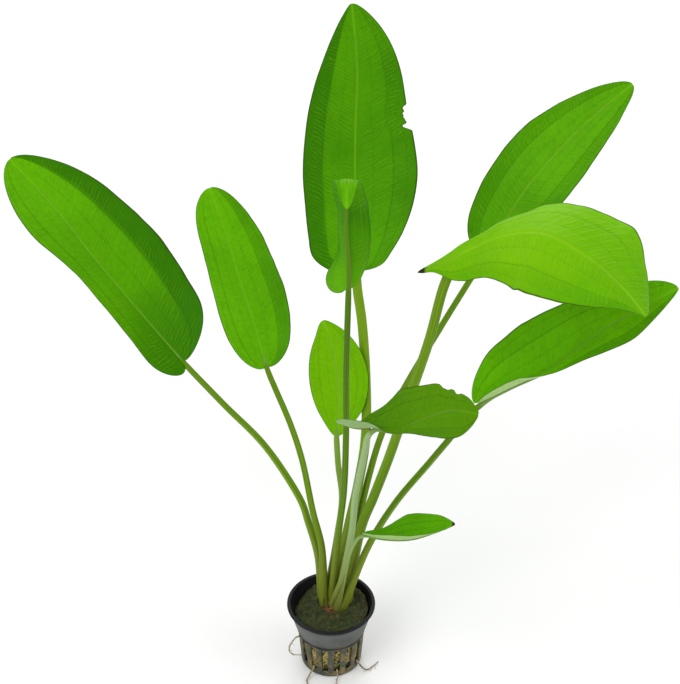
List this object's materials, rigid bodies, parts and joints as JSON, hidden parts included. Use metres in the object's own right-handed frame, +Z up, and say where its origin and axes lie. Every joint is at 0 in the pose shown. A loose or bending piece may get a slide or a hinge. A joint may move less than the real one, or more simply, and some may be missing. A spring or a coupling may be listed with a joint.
{
  "type": "potted amazon sword plant",
  "caption": "Broad-leaved aquarium rosette plant with long stalks, growing from a mineral wool plug in a small slotted net pot.",
  "frame": {"origin": "centre of the pot's flat underside, on the surface it stands on", "axes": "+Z up; -Y is the front, from which the leaves are seen face on; +X is to the right of that view"},
  "size_m": [0.3382, 0.2021, 0.3487],
  "materials": {
    "pot_plastic": "satin",
    "wool": "matte",
    "rootstock": "matte",
    "leaf": "satin",
    "young_leaf": "satin",
    "olive_leaf": "satin",
    "root": "matte"
  },
  "bodies": {
    "root": {"net_pot": "pot_plastic", "mineral_wool": "wool", "crown": "rootstock", "leaf_left_large": "leaf", "leaf_left_small": "leaf", "leaf_tall": "leaf", "leaf_curled": "leaf", "leaf_back_small": "young_leaf", "leaf_upper_right": "leaf", "leaf_arching": "young_leaf", "leaf_lower_right": "leaf", "leaf_young_right": "olive_leaf", "leaf_young_low": "leaf", "root_left_loop": "root", "root_left_hook": "root", "root_right": "root", "root_front": "root"}
  },
  "joints": []
}
